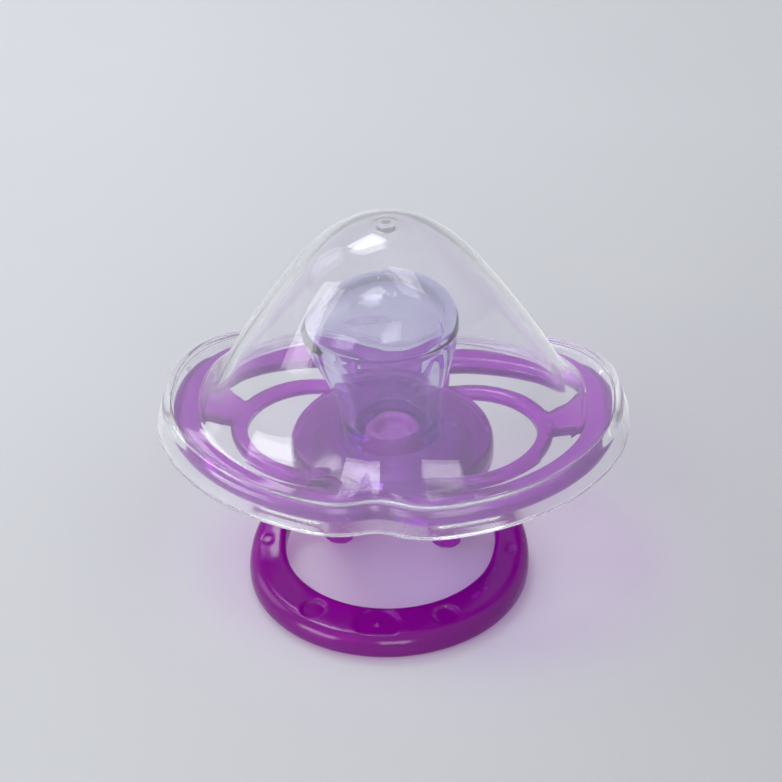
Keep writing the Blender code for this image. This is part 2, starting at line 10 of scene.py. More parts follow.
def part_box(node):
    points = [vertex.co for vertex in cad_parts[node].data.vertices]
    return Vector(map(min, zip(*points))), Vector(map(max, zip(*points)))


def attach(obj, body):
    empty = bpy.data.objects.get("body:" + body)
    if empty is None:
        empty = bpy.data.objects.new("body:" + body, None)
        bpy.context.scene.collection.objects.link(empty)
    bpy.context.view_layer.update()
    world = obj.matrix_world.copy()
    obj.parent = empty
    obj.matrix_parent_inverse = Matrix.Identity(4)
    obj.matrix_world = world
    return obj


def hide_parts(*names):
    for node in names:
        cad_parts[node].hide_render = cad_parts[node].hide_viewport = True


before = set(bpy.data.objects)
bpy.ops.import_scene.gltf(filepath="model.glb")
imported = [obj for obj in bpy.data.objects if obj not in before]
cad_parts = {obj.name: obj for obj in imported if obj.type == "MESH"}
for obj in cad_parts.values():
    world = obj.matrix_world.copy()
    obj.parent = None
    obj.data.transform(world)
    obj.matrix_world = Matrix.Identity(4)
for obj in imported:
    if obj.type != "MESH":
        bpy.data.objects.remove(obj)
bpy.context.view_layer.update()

# Lengths are in millimetres about the hub's axis, with the floor at zero height
MM = 0.001
plug_low, plug_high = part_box("plug")
HUB_Y = (plug_low.y + plug_high.y) / 2 / MM
CAP_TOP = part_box("cap")[1].z / MM

# Shield
SHIELD_HALF_WIDTH = 22.5
SHIELD_HALF_DEPTH = 15.2
SHIELD_CENTRE_Y = 0.8
SQUARENESS_FRONT = 2.15
SQUARENESS_BACK = 2.6
NOTCH_FRONT = (1.5, 3.2)
NOTCH_BACK = (1.6, 4.4)
DISH_RADIUS_X = 90.0
DISH_RADIUS_Y = 200.0
RIM_WIDTH = 3.0
RIM_THICK = 2.0
RIM_CORNER = 0.95
WEB_THICK = 1.1
WEB_RECESS = 0.35
WEB_HUB_OVERLAP = 2.1
ARCH_X = 7.6
ARCH_HOLE_RADIUS = 7.2
ARCH_WIDTH = 1.7
ARCH_THICK = 1.5
ARCH_CORNER = 0.6
FRONT_WEB_HALF = 4.3
BACK_WEB_HALF = 5.2
SIDE_WEB_FRONT = (0.2, -0.3)
SIDE_WEB_BACK = (3.4, 7.8)
SIDE_WEB_SLANT = 0.77
CREASE_RISE = 0.22
CREASE_SPREAD = 0.35
JOIN_ROUND = 0.35
HUB_RADIUS = 10.4
HUB_BOTTOM = 11.2
HUB_TOP = 14.0
HUB_CROWN = 0.8
HUB_EDGE = 0.6
HUB_EDGE_ROUND = 0.7
HUB_BUMP = (6.5, 0.5)
HUB_BUMP_RISE = 0.35
HUB_BUMP_SPREAD = math.sqrt(0.3)
PLATE_TOP = 13.0
COLLAR_BORE = 9.7
COLLAR_DEPTH = 1.0
COLLAR_CORNER = 0.25
NECK_BORE = 5.2

# Nipple and plug
NECK_RADIUS = 4.9
NECK_SWELL = 0.2
NECK_RISE = 1.3
HEAD_HALF_WIDTH = 8.0
HEAD_HALF_DEPTH = 6.8
HEAD_CROWN = 6.2
HEAD_RISE = 12.0
HEAD_ROUNDING = 0.82
NIPPLE_WALL = 1.35
NIPPLE_SWAY = 1.0
CROWN_LEAN = 1.6
FLANGE_RADIUS = 7.8
FLANGE_BOTTOM = 9.7
FLANGE_TOP = 10.9
FLANGE_ROUND = 0.3
NIPPLE_COLUMNS = 112
PLUG_FLANGE = (8.4, 9.4)
PLUG_CLEARANCE = 0.3
PLUG_TIP = HUB_TOP + 0.5
PLUG_TIP_RADII = (2.7, 2.5)
PLUG_DISH_RADII = (1.95, 1.7)
PLUG_DISH_DEPTH = 1.0
PLUG_ROUND = 0.25
ON_AXIS = 0.001

# Back cover
FACE_HEIGHT = 5.4
FACE_RADIUS = 3.6
COVER_TOP = 10.9
COVER_STRAIGHT = 1.5
COVER_RADIUS = 9.4
COVER_BORE = 8.1
COVER_LEDGE = 8.1
WELL_RADIUS = 3.8
WELL_BOTTOM = 6.7
EAR_X = 5.6
EAR_THICK = 3.0
EAR_FOOT = 0.8
EAR_HALF_LENGTH = 3.3
EAR_CORNER = 0.9
EAR_TOP = 7.8
DOME_FULLNESS = 0.9
DOME_SLOPE = 0.6
HINGE_Y = 0.5
HINGE_Z = 3.0
PIN_RADIUS = 0.9
PIN_HOLE_RADIUS = 1.2
PIN_DEPTH = 2.1
PIN_CLEARANCE = 0.3

# Ring handle, with recesses at (angle in degrees, radius, depth)
RING_RADIUS = 14.4
RING_Y = -6.3
RING_HOLE_RADIUS = 10.8
RING_HOLE_Y = -4.7
RING_THICK = 2.8
RING_RISE_FROM = -9.6
RING_TOP_FALL = 0.25
RING_ROUND_INNER = 0.7
RING_ROUND_OUTER = 1.5
RING_ROUND_UNDER = 1.0
RECESSES = (
    (-122.0, 1.2, 0.3), (-90.0, 2.2, 0.22), (-58.0, 1.2, 0.3), (-178.0, 0.55, 0.16), (-2.0, 0.55, 0.16),
)
NUB_Y = -18.1
NUB_RADIUS = 0.42
NUB_BURY = 0.45
BARREL_RADIUS = 1.4
BARREL_END = 12.4
PIN_END = 11.0

# Cap: the bell's heights and half widths as shares of its apex and its base
CAP_WALL = 0.85
CAP_SIDE_CLEARANCE = 0.35
CAP_LIFT = 1.15
CAP_BRIM = 2.5
BELL = (
    (0.992, 0.11), (0.948, 0.265), (0.849, 0.41), (0.709, 0.54), (0.55, 0.67), (0.39, 0.79), (0.231, 0.9),
)
BELL_STEPS = 9
BELL_FILLET = 0.35
BELL_ROUND_SHARE = 0.5
BELL_FRONT_REACH = 1.1
BELL_FRONT_PINCH = 0.15
BELL_FLARE_FROM = 0.7
BELL_NOTCH_FADE = 4
SKIRT_DEPTH = 3.4
SKIRT_FLARE = 0.6
CAP_EDGE = 1.0
BEAD_X = 9.0
BEAD_LENGTH = 7.2
BEAD_HEIGHT = 0.45
LINING_DROP = 0.3
LINING = ((0.3, 0.0), (0.45, 0.0), (0.55, 0.45), (0.68, 1.0), (0.8, 1.0), (0.9, 0.5), (0.97, 0.0))
GATE_RISE = 0.25
GATE_RADIUS = 0.85
GATE_SLOPE = 0.35
GATE_DIMPLE = 0.12
CAP_COLUMNS = 288

# Fineness of the pieces drawn as fields and of the turned ones
FINE = 0.24
TURNED_STEPS = 96
OUTLINE_SAMPLES = 1440

# The space that each piece drawn as a field is sampled in, lowest and highest corner
SPACE_MARGIN = 1.0
SHIELD_SPACE = (
    (-SHIELD_HALF_WIDTH - SPACE_MARGIN, SHIELD_CENTRE_Y - SHIELD_HALF_DEPTH - SPACE_MARGIN, 9.6),
    (SHIELD_HALF_WIDTH + SPACE_MARGIN, SHIELD_CENTRE_Y + SHIELD_HALF_DEPTH + SPACE_MARGIN, 16.2),
)
COVER_SPACE = ((-10.2, -10.2, -0.6), (10.2, 10.2, 11.6))
RING_SPACE = ((-15.2, -21.5, -0.6), (15.2, 2.8, 5.2))


# Meshes

def make_object(name, verts, faces):
    """A smooth object from points in millimetres about the hub's axis."""
    mesh = bpy.data.meshes.new(name)
    placed = np.asarray(verts, float) + (0.0, HUB_Y, 0.0)
    mesh.from_pydata((placed * MM).tolist(), [], [tuple(f) for f in faces])
    mesh.validate()
    mesh.shade_smooth()
    obj = bpy.data.objects.new(name, mesh)
    bpy.context.collection.objects.link(obj)
    return obj


def grid_faces(rows, columns, flip=False):
    """Quads over rows of points that each close on themselves."""
    faces = []
    for r in range(rows - 1):
        for c in range(columns):
            d = (c + 1) % columns
            quad = (r * columns + c, r * columns + d, (r + 1) * columns + d, (r + 1) * columns + c)
            faces.append(quad[::-1] if flip else quad)
    return faces


def fan(ring_start, columns, centre, flip=False):
    """Triangles from one ring of points to a centre point."""
    faces = [(ring_start + i, ring_start + (i + 1) % columns, centre) for i in range(columns)]
    return [(b, a, c) for a, b, c in faces] if flip else faces


def centre_of(ring):
    return tuple(np.mean(np.array(ring), axis=0))


def surface_net(field, low, step):
    """The smooth quad skin of a field's zero level, sampled on a grid."""
    inside = field < 0
    size = np.array(field.shape) - 1
    corners = [(i, j, k) for i in (0, 1) for j in (0, 1) for k in (0, 1)]

    def shifted(a, c):
        return a[c[0]:size[0] + c[0], c[1]:size[1] + c[1], c[2]:size[2] + c[2]]

    count = sum(shifted(inside, c).astype(np.int8) for c in corners)
    active = (count > 0) & (count < 8)
    cells = np.argwhere(active)
    index = np.full(active.shape, -1, np.int64)
    index[active] = np.arange(len(cells))
    total = np.zeros((len(cells), 3))
    hits = np.zeros(len(cells))
    for c in corners:
        for axis in range(3):
            if c[axis]:
                continue
            a = cells + c
            b = a.copy()
            b[:, axis] += 1
            fa, fb = field[tuple(a.T)], field[tuple(b.T)]
            cross = (fa < 0) != (fb < 0)
            point = np.array(c, float) + np.zeros((len(cells), 3))
            gap = np.where(cross, fa - fb, 1.0)
            point[:, axis] += fa / gap
            total[cross] += point[cross]
            hits += cross
    verts = (cells + total / hits[:, None]) * step + low
    quads = []
    for axis in range(3):
        u, v = (axis + 1) % 3, (axis + 2) % 3
        start = [slice(None)] * 3
        end = [slice(None)] * 3
        start[axis], end[axis] = slice(0, -1), slice(1, None)
        a, b = inside[tuple(start)], inside[tuple(end)]
        for forward in (True, False):
            edges = np.argwhere((a & ~b) if forward else (~a & b))
            keep = (edges[:, u] > 0) & (edges[:, v] > 0)
            keep &= (edges[:, u] < size[u]) & (edges[:, v] < size[v])
            edges = edges[keep]
            du, dv = np.eye(3, dtype=int)[u], np.eye(3, dtype=int)[v]
            ring = [edges, edges - du, edges - du - dv, edges - dv]
            quad = np.stack([index[tuple(e.T)] for e in ring], axis=1)
            quads.append(quad if forward else quad[:, ::-1])
    return verts, np.concatenate(quads)


def solid(name, field, low, high, step=FINE):
    """An object whose skin is the zero level of field(x, y, z), drawn onto it exactly."""
    low, high = np.array(low, float), np.array(high, float)
    axes = [np.arange(a, b + step, step) for a, b in zip(low, high)]
    grid = np.meshgrid(*axes, indexing="ij")
    verts, quads = surface_net(field(*grid), low, step)
    small = step * 0.2
    most = step * 0.4
    for _ in range(3):
        value = field(*verts.T)
        slope = np.stack([
            field(*(verts + offset).T) - field(*(verts - offset).T) for offset in np.eye(3) * small
        ], axis=1) / (2 * small)
        length = np.maximum((slope ** 2).sum(axis=1), 0.05)
        move = slope * (value / length)[:, None]
        move *= np.minimum(1.0, most / np.maximum(np.linalg.norm(move, axis=1), 1e-9))[:, None]
        verts = verts - move
    return make_object(name, verts, quads.tolist())


def smooth_min(a, b, k):
    """The nearer of two fields, with a fillet of about k where they meet."""
    h = np.clip(0.5 + 0.5 * (b - a) / k, 0.0, 1.0)
    return b + (a - b) * h - k * h * (1 - h)


def smooth_max(a, b, k):
    return -smooth_min(-a, -b, k)


def rounded_bar(across, up, width, thick, corner):
    """Distance to a bar's section about its middle, with rounded corners."""
    qx = np.abs(across) - (width / 2 - corner)
    qz = np.abs(up) - (thick / 2 - corner)
    outside = np.hypot(np.maximum(qx, 0), np.maximum(qz, 0))
    return outside + np.minimum(np.maximum(qx, qz), 0) - corner


def ease(t):
    """Zero to one with a soft start and end."""
    t = np.clip(t, 0.0, 1.0)
    return t * t * (3 - 2 * t)


# The shield's outline, shared with the cap

def outline(grow, count):
    """The shield's edge moved outward by grow, as evenly spaced points that start at +X."""
    turn = np.arange(OUTLINE_SAMPLES) * math.tau / OUTLINE_SAMPLES
    c, s = np.cos(turn), np.sin(turn)
    power = np.where(s > 0, 2 / SQUARENESS_BACK, 2 / SQUARENESS_FRONT)
    x = SHIELD_HALF_WIDTH * np.sign(c) * np.abs(c) ** power
    y = SHIELD_HALF_DEPTH * np.sign(s) * np.abs(s) ** power
    depth = np.where(s > 0, NOTCH_BACK[0], NOTCH_FRONT[0])
    spread = np.where(s > 0, NOTCH_BACK[1], NOTCH_FRONT[1])
    y = y - np.sign(s) * depth * np.exp(-((x / spread) ** 2)) * np.minimum(1.0, np.abs(s) * 4)
    dense = np.stack([x, y + SHIELD_CENTRE_Y], axis=1)
    along = np.roll(dense, -3, axis=0) - np.roll(dense, 3, axis=0)
    normal = np.stack([along[:, 1], -along[:, 0]], axis=1)
    normal /= np.linalg.norm(normal, axis=1)[:, None]
    moved = dense + normal * grow
    closed = np.vstack([moved, moved[:1]])
    length = np.concatenate([[0], np.cumsum(np.linalg.norm(np.diff(closed, axis=0), axis=1))])
    stations = np.linspace(0, length[-1], count, endpoint=False)
    return np.stack([np.interp(stations, length, closed[:, k]) for k in (0, 1)], axis=1)


def dish(x, y):
    """How far the shield's dish lifts a point."""
    return x * x / (2 * DISH_RADIUS_X) + y * y / (2 * DISH_RADIUS_Y)


def edge_map(step=0.2, margin=3.0):
    """Signed distance from the shield's edge on a flat grid, negative inside."""
    edge = outline(0.0, 480)
    low = edge.min(axis=0) - margin
    high = edge.max(axis=0) + margin
    xs = np.arange(low[0], high[0], step)
    ys = np.arange(low[1], high[1], step)
    gx, gy = np.meshgrid(xs, ys, indexing="ij")
    best = np.full(gx.shape, 1e9)
    for a, b in zip(edge, np.roll(edge, -1, axis=0)):
        ab = b - a
        t = ((gx - a[0]) * ab[0] + (gy - a[1]) * ab[1]) / (ab @ ab)
        t = np.clip(t, 0, 1)
        best = np.minimum(best, np.hypot(gx - a[0] - ab[0] * t, gy - a[1] - ab[1] * t))
    angle = np.unwrap(np.arctan2(edge[:, 1] - SHIELD_CENTRE_Y, edge[:, 0]))
    radius = np.hypot(edge[:, 0], edge[:, 1] - SHIELD_CENTRE_Y)
    at = np.arctan2(gy - SHIELD_CENTRE_Y, gx)
    order = np.argsort(angle % math.tau)
    ring = np.interp(at % math.tau, (angle % math.tau)[order], radius[order], period=math.tau)
    inside = np.hypot(gx, gy - SHIELD_CENTRE_Y) < ring
    return low, step, np.where(inside, -best, best)


EDGE_LOW, EDGE_STEP, EDGE_MAP = edge_map()


def edge_distance(x, y):
    """Signed distance from the shield's edge, read from the map."""
    u = np.clip((x - EDGE_LOW[0]) / EDGE_STEP, 0, EDGE_MAP.shape[0] - 1.001)
    v = np.clip((y - EDGE_LOW[1]) / EDGE_STEP, 0, EDGE_MAP.shape[1] - 1.001)
    i, j = u.astype(int), v.astype(int)
    fu, fv = u - i, v - j
    a = EDGE_MAP[i, j] * (1 - fu) + EDGE_MAP[i + 1, j] * fu
    b = EDGE_MAP[i, j + 1] * (1 - fu) + EDGE_MAP[i + 1, j + 1] * fu
    return a * (1 - fv) + b * fv


# Pieces drawn as fields

def shield_field(x, y, z):
    """Rim, arches, webs and hub as one moulding with soft inner corners."""
    side = np.abs(x)
    up = z - PLATE_TOP - dish(x, y)
    edge = edge_distance(x, y)
    rim = rounded_bar(edge + RIM_WIDTH / 2, up + RIM_THICK / 2, RIM_WIDTH, RIM_THICK, RIM_CORNER)

    arch_middle = ARCH_HOLE_RADIUS + ARCH_WIDTH / 2
    from_arch = np.hypot(side - ARCH_X, y)
    arch = rounded_bar(from_arch - arch_middle, up + ARCH_THICK / 2, ARCH_WIDTH, ARCH_THICK, ARCH_CORNER)
    plate = np.abs(up + WEB_RECESS + WEB_THICK / 2) - WEB_THICK / 2
    within = edge + RIM_WIDTH / 2
    outside_arch = arch_middle - from_arch

    inner_x = ARCH_X + arch_middle
    outer_x = SHIELD_HALF_WIDTH - RIM_WIDTH / 2
    share = (side - inner_x) / (outer_x - inner_x)
    front_line = SIDE_WEB_FRONT[0] + (SIDE_WEB_FRONT[1] - SIDE_WEB_FRONT[0]) * share
    back_line = SIDE_WEB_BACK[0] + (SIDE_WEB_BACK[1] - SIDE_WEB_BACK[0]) * share
    side_web = np.maximum(plate, np.maximum(front_line - y, (y - back_line) * SIDE_WEB_SLANT))
    side_web = np.maximum(side_web, np.maximum(within, outside_arch))

    radius = np.hypot(x, y)
    crease = CREASE_RISE * np.exp(-((x / CREASE_SPREAD) ** 2))
    low_plate = np.maximum(up + WEB_RECESS - crease, -(up + WEB_RECESS + WEB_THICK))
    in_hub = HUB_RADIUS - WEB_HUB_OVERLAP - radius
    front_web = np.maximum(np.maximum(low_plate, side - FRONT_WEB_HALF), np.maximum(y, within))
    back_web = np.maximum(np.maximum(plate, side - BACK_WEB_HALF), np.maximum(-y, within))
    webs = np.minimum(side_web, np.maximum(np.minimum(front_web, back_web), in_hub))

    edge_radius = HUB_RADIUS - HUB_EDGE
    crown = HUB_TOP - HUB_CROWN * np.clip((radius - NECK_BORE) / (edge_radius - NECK_BORE), 0, 1.2) ** 2
    from_bump = np.hypot(x - HUB_BUMP[0], y - HUB_BUMP[1])
    bump = HUB_BUMP_RISE * np.exp(-((from_bump / HUB_BUMP_SPREAD) ** 2))
    hub = smooth_max(z - crown - bump, radius - HUB_RADIUS, HUB_EDGE_ROUND)
    hub = smooth_max(hub, HUB_BOTTOM - z, 0.3)
    collar_middle = (COLLAR_BORE + HUB_RADIUS) / 2
    collar = rounded_bar(
        radius - collar_middle, z - HUB_BOTTOM, HUB_RADIUS - COLLAR_BORE, 2 * COLLAR_DEPTH, COLLAR_CORNER,
    )
    hub = smooth_min(hub, collar, 0.15)

    body = smooth_min(arch, webs, JOIN_ROUND)
    body = smooth_min(body, rim, JOIN_ROUND)
    body = smooth_min(body, hub, JOIN_ROUND)
    return smooth_max(body, NECK_BORE - radius, 0.2)


def cover_field(x, y, z):
    """The shallow button, its well for the flanges, and the two ears."""
    radius = np.hypot(x, y)
    straight = COVER_TOP - COVER_STRAIGHT
    share = np.clip((z - FACE_HEIGHT) / (straight - FACE_HEIGHT), 0.0, 1.0)
    wall = FACE_RADIUS + (COVER_RADIUS - FACE_RADIUS) * share ** DOME_FULLNESS
    button = smooth_max((radius - wall) * np.where(share < 1, DOME_SLOPE, 1.0), FACE_HEIGHT - z, 0.5)
    button = smooth_max(button, z - COVER_TOP, 0.2)
    side = np.abs(x) - EAR_X
    along = np.abs(y - HINGE_Y) - (EAR_HALF_LENGTH - EAR_CORNER)
    down = EAR_CORNER - z
    corner = np.hypot(np.maximum(along, 0), np.maximum(down, 0)) - EAR_CORNER
    corner = corner + np.minimum(np.maximum(along, down), 0)
    lean = (np.abs(side) - EAR_FOOT / 2 - z) * math.sqrt(0.5)
    ear = smooth_max(np.abs(side) - EAR_THICK / 2, lean, 0.15)
    ear = smooth_max(np.maximum(ear, z - EAR_TOP), corner, 0.2)
    body = smooth_min(button, ear, 0.5)
    well = np.maximum(radius - COVER_BORE, COVER_LEDGE - z)
    well = np.minimum(well, np.maximum(radius - WELL_RADIUS, WELL_BOTTOM - z))
    body = smooth_max(body, -well, 0.12)
    hole = np.hypot(y - HINGE_Y, z - HINGE_Z) - PIN_HOLE_RADIUS
    blind = EAR_X + EAR_THICK / 2 - PIN_DEPTH - PIN_CLEARANCE
    return smooth_max(body, -np.maximum(hole, blind - np.abs(x)), 0.1)


def ring_field(x, y, z):
    """The flat crescent with a rolled outer edge, its recesses, barrels and pins."""
    depth_out = RING_RADIUS - np.hypot(x, y - RING_Y)
    depth_in = np.hypot(x, y - RING_HOLE_Y) - RING_HOLE_RADIUS
    half = np.maximum((depth_out + depth_in) / 2, 0.5)
    rise = ease((y - RING_RISE_FROM) / (HINGE_Y - RING_RISE_FROM))
    lift = RING_THICK / 2 + (HINGE_Z - RING_THICK / 2) * rise
    up = z - lift
    top = up - RING_THICK / 2 + RING_TOP_FALL * (1 - np.clip(depth_out / (2 * half), 0, 1)) ** 2
    crescent = smooth_max(-depth_in, top, RING_ROUND_INNER)
    crescent = smooth_max(crescent, -depth_out, RING_ROUND_OUTER)
    crescent = smooth_max(crescent, -up - RING_THICK / 2, RING_ROUND_UNDER)
    crescent = np.maximum(crescent, y - HINGE_Y)

    for angle, radius, depth in RECESSES:
        a = math.radians(angle)
        out = (RING_RADIUS * math.cos(a), RING_Y + RING_RADIUS * math.sin(a))
        inn = (RING_HOLE_RADIUS * math.cos(a), RING_HOLE_Y + RING_HOLE_RADIUS * math.sin(a))
        cx, cy = (out[0] + inn[0]) / 2, (out[1] + inn[1]) / 2
        off = np.hypot(x - cx, y - cy)
        recess = np.maximum(off - radius, -(up - RING_THICK / 2 + depth))
        crescent = smooth_max(crescent, -recess, 0.18)
    nub = np.hypot(np.hypot(x, y - NUB_Y), z - RING_THICK + NUB_BURY) - NUB_RADIUS
    crescent = smooth_min(crescent, nub, 0.15)

    axis = np.hypot(y - HINGE_Y, z - HINGE_Z)
    side = np.abs(x)
    face = EAR_X + EAR_THICK / 2
    ends = np.maximum(face + PIN_CLEARANCE - side, side - BARREL_END)
    barrel = smooth_max(axis - BARREL_RADIUS, ends, 0.3)
    pin = smooth_max(axis - PIN_RADIUS, np.maximum(face - PIN_DEPTH - side, side - PIN_END), 0.2)
    return smooth_min(smooth_min(crescent, barrel, 0.5), pin, 0.1)


# Pieces drawn as rings of points

def make_turned(name, profile, steps=TURNED_STEPS):
    """A turned piece whose (radius, height) profile runs from its axis round to its axis."""
    turn = np.arange(steps) * math.tau / steps
    rows = [[(r * math.cos(a), r * math.sin(a), z) for a in turn] for r, z in profile]
    verts = [p for row in rows for p in row] + [centre_of(rows[0]), centre_of(rows[-1])]
    last = (len(rows) - 1) * steps
    faces = grid_faces(len(rows), steps)
    faces += fan(0, steps, last + steps, flip=True) + fan(last, steps, last + steps + 1)
    return make_object(name, verts, faces)


def softened(profile, round_by):
    """A profile with each inner corner cut by two short arcs."""
    points = [Vector(p) for p in profile]
    out = [points[0]]
    for before, at, after in zip(points, points[1:], points[2:]):
        back, on = before - at, after - at
        reach = min(round_by, back.length * 0.45, on.length * 0.45)
        start, end = at + back.normalized() * reach, at + on.normalized() * reach
        for k in range(5):
            t = k / 4
            out.append(start.lerp(at, t).lerp(at.lerp(end, t), t))
    out.append(points[-1])
    return [(p.x, p.y) for p in out]


def make_plug():
    """The inner plug: a flange, a boss and a round tip with a dished middle."""
    low, high = PLUG_FLANGE
    boss = NECK_RADIUS - NIPPLE_WALL - PLUG_CLEARANCE
    dish_floor = PLUG_TIP - PLUG_DISH_DEPTH
    profile = [
        (ON_AXIS, low), (FLANGE_RADIUS, low), (FLANGE_RADIUS, high), (boss, high), (boss, HUB_BOTTOM),
        (PLUG_TIP_RADII[0], PLUG_TIP - 0.2), (PLUG_TIP_RADII[1], PLUG_TIP),
        (PLUG_DISH_RADII[0], PLUG_TIP), (PLUG_DISH_RADII[1], dish_floor), (ON_AXIS, dish_floor),
    ]
    return make_turned("plug_moulding", softened(profile, PLUG_ROUND))


def nipple_rows():
    """Outer and inner (radius, height) rows of the nipple, flange to crown."""
    head = HUB_TOP + HEAD_RISE
    neck = NECK_RADIUS + NECK_SWELL
    foot = HUB_TOP + NECK_RISE
    outer = [(NECK_RADIUS, z) for z in np.linspace(FLANGE_TOP + FLANGE_ROUND, HUB_TOP, 8)]
    outer += [(NECK_RADIUS + NECK_SWELL * ease(t), HUB_TOP + NECK_RISE * t) for t in (0.33, 0.66)]
    full = 1 - math.cos(math.pi * HEAD_ROUNDING)
    for share in np.linspace(0, 1, 40):
        swell = (1 - math.cos(math.pi * share * HEAD_ROUNDING)) / full
        outer.append((neck + (HEAD_HALF_WIDTH - neck) * swell, foot + (head - foot) * share))
    for degrees in np.linspace(3, 88, 36):
        a = math.radians(degrees)
        outer.append((HEAD_HALF_WIDTH * math.cos(a), head + HEAD_CROWN * math.sin(a)))
    path = np.array(outer)
    along = np.gradient(path, axis=0)
    along /= np.linalg.norm(along, axis=1)[:, None]
    inner = path + np.stack([-along[:, 1], along[:, 0]], axis=1) * NIPPLE_WALL
    inner = [(float(r), float(z)) for r, z in inner if r > 0.15]
    return [(float(r), float(z)) for r, z in outer], inner


def nipple_ring(radius, height):
    """A ring of the nipple, flattened front to back and swayed sideways with height."""
    rise = max(0.0, height - HUB_TOP) / HEAD_RISE
    flat = 1 + (HEAD_HALF_DEPTH / HEAD_HALF_WIDTH - 1) * min(1.0, rise) ** 2
    crown = max(0.0, height - HUB_TOP - HEAD_RISE) / HEAD_CROWN
    sway = CROWN_LEAN * crown - NIPPLE_SWAY * min(1.0, rise) ** 1.5
    turn = np.arange(NIPPLE_COLUMNS) * math.tau / NIPPLE_COLUMNS
    return [(sway + radius * math.cos(a), radius * flat * math.sin(a), height) for a in turn]


def make_nipple():
    """A hollow teat: skin and bore in one closed wall, with its flange."""
    outer, inner = nipple_rows()
    flange = [
        (FLANGE_RADIUS - FLANGE_ROUND, FLANGE_BOTTOM),
        (FLANGE_RADIUS, FLANGE_BOTTOM + FLANGE_ROUND),
        (FLANGE_RADIUS, FLANGE_TOP - FLANGE_ROUND),
        (FLANGE_RADIUS - FLANGE_ROUND, FLANGE_TOP),
        (NECK_RADIUS + FLANGE_ROUND, FLANGE_TOP),
    ]
    bore_radius = NECK_RADIUS - NIPPLE_WALL
    bore = [(r, z) for r, z in reversed(inner) if z > FLANGE_TOP]
    bore += [(bore_radius, z) for z in (FLANGE_TOP, FLANGE_BOTTOM + FLANGE_ROUND)]
    bore.append((bore_radius + FLANGE_ROUND, FLANGE_BOTTOM))
    skin = [nipple_ring(r, z) for r, z in flange + outer]
    hollow = [nipple_ring(r, z) for r, z in bore]
    columns = NIPPLE_COLUMNS
    verts = [p for row in skin + hollow for p in row] + [centre_of(skin[-1]), centre_of(hollow[0])]
    start = len(skin) * columns
    last = start + (len(hollow) - 1) * columns
    faces = grid_faces(len(skin), columns)
    faces += [tuple(start + i for i in f) for f in grid_faces(len(hollow), columns)]
    faces += fan(start - columns, columns, last + columns)
    faces += fan(start, columns, last + columns + 1, flip=True)
    faces += [(last + i, last + (i + 1) % columns, (i + 1) % columns, i) for i in range(columns)]
    return make_object("nipple_silicone", verts, faces)


def curve_through(points, per):
    """A curve through points[1:-1] with per steps between each two of them."""
    out = []
    for a, b, c, d in zip(points, points[1:], points[2:], points[3:]):
        for k in range(per):
            t = k / per
            bend = (2 * a - 5 * b + 4 * c - d) * t + (3 * b - a - 3 * c + d) * t * t
            out.append(b + (c - a + bend) * t / 2)
    out.append(points[-2])
    return out


def bell_curve(shell):
    """The bell's (half width, height over the plate) as a rounded curve moved in by shell."""
    base_width = SHIELD_HALF_WIDTH - CAP_BRIM
    apex = CAP_TOP - GATE_RISE - PLATE_TOP
    base = (CAP_LIFT + BELL_FILLET + dish(base_width, 0)) / apex
    points = [(0.0, 1.0)] + [(w, h) for h, w in BELL] + [(1.0, base)]
    before = (-points[1][0], points[1][1])
    after = (2 * points[-1][0] - points[-2][0], 2 * points[-1][1] - points[-2][1])
    chain = np.array([before] + points + [after]) * (base_width, apex)
    curve = np.array(curve_through(chain, BELL_STEPS))
    along = np.gradient(curve, axis=0)
    along /= np.linalg.norm(along, axis=1)[:, None]
    inward = np.stack([along[:, 1], -along[:, 0]], axis=1)
    return (curve + inward * shell)[1:]


def cap_rows(shell):
    """Rows of the bell's surface, apex to brim, moved inward by shell. The bell is round at its
    apex and takes the shield's outline towards its base. Its front is drawn in and flares at its foot."""
    base_width = SHIELD_HALF_WIDTH - CAP_BRIM
    grow = CAP_SIDE_CLEARANCE + CAP_WALL - shell
    edge = outline(grow, CAP_COLUMNS)
    angle = np.arctan2(edge[:, 1], edge[:, 0])
    front = np.maximum(0.0, -np.sin(angle)) ** 2
    notch = NOTCH_FRONT[0] * np.exp(-((edge[:, 0] / NOTCH_FRONT[1]) ** 2))
    round_until = BELL_ROUND_SHARE * base_width
    rows = []
    for reach, height in bell_curve(shell):
        back_shape = max(0.0, (reach - round_until / 2) / (base_width - round_until / 2))
        shape = back_shape + (min(1.0, reach / round_until) - back_shape) * front
        follow = max(0.0, (reach - round_until) / (base_width - round_until))
        notch_fill = notch * (1 - min(1.0, reach / base_width) ** BELL_NOTCH_FADE)
        wider = (BELL_FRONT_REACH + notch_fill) * front
        size = (np.hypot(edge[:, 0], edge[:, 1]) + wider) / (SHIELD_HALF_WIDTH + grow)
        flare = max(0.0, reach / base_width - BELL_FLARE_FROM) / (1 - BELL_FLARE_FROM)
        pinch = BELL_FRONT_PINCH * (1 - min(1.0, flare) ** 2)
        r = reach * (1 - shape + shape * size * (1 - pinch * front))
        px, py = r * np.cos(angle), r * np.sin(angle)
        z = PLATE_TOP + height - follow * (dish(reach, 0) - dish(px, py))
        rows.append(np.stack([px, py, z], axis=1))
    return rows


def rim_row(grow, lift, bead=0.0):
    """A row that follows the shield's edge at a height over its dish, moved in by the beads."""
    at = outline(grow, CAP_COLUMNS)
    centre = outline(0.0, CAP_COLUMNS)
    toward = centre - at
    toward /= np.maximum(np.linalg.norm(toward, axis=1), 1e-6)[:, None]
    off = (np.abs(at[:, 0]) - BEAD_X) / (BEAD_LENGTH / 2)
    stand = BEAD_HEIGHT * np.sqrt(np.maximum(0.0, 1 - off * off)) * bead
    at = at + toward * stand[:, None]
    z = PLATE_TOP + dish(at[:, 0], at[:, 1]) + lift
    return np.stack([at[:, 0], at[:, 1], z], axis=1)


